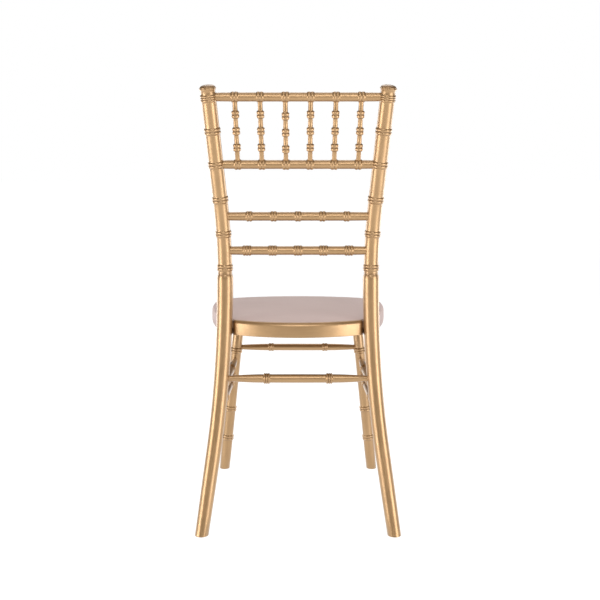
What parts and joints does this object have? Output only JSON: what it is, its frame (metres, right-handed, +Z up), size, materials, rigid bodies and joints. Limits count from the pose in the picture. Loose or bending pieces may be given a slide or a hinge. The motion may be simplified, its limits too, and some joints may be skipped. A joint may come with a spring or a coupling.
{
  "type": "chiavari chair",
  "caption": "Turned ballroom side chair with bent ringed back posts, a spindled back, double side stretchers and a thin upholstered seat.",
  "frame": {"origin": "centre of the bounding box on the floor, under the seat", "axes": "+Z up, +X towards the sitter's left, -Y the way the sitter faces"},
  "size_m": [0.427, 0.5076, 0.92],
  "materials": {
    "lacquered_beech": "satin gold lacquer",
    "plywood": "raw sanded",
    "pad_cover": "matt"
  },
  "bodies": {
    "root": {"rear_post_left": "lacquered_beech", "rear_post_right": "lacquered_beech", "front_leg_left": "lacquered_beech", "front_leg_right": "lacquered_beech", "top_rail": "lacquered_beech", "spindle_rail": "lacquered_beech", "upper_slat": "lacquered_beech", "lower_slat": "lacquered_beech", "front_stretcher": "lacquered_beech", "rear_stretcher": "lacquered_beech", "seat_rail_front": "lacquered_beech", "seat_rail_rear": "lacquered_beech", "seat_rail_left": "lacquered_beech", "seat_rail_right": "lacquered_beech", "spindle_1": "lacquered_beech", "spindle_2": "lacquered_beech", "spindle_3": "lacquered_beech", "spindle_4": "lacquered_beech", "spindle_5": "lacquered_beech", "spindle_6": "lacquered_beech", "side_stretcher_upper_left": "lacquered_beech", "side_stretcher_upper_right": "lacquered_beech", "side_stretcher_lower_left": "lacquered_beech", "side_stretcher_lower_right": "lacquered_beech", "seat_panel": "plywood", "seat_pad": "pad_cover"}
  },
  "joints": []
}
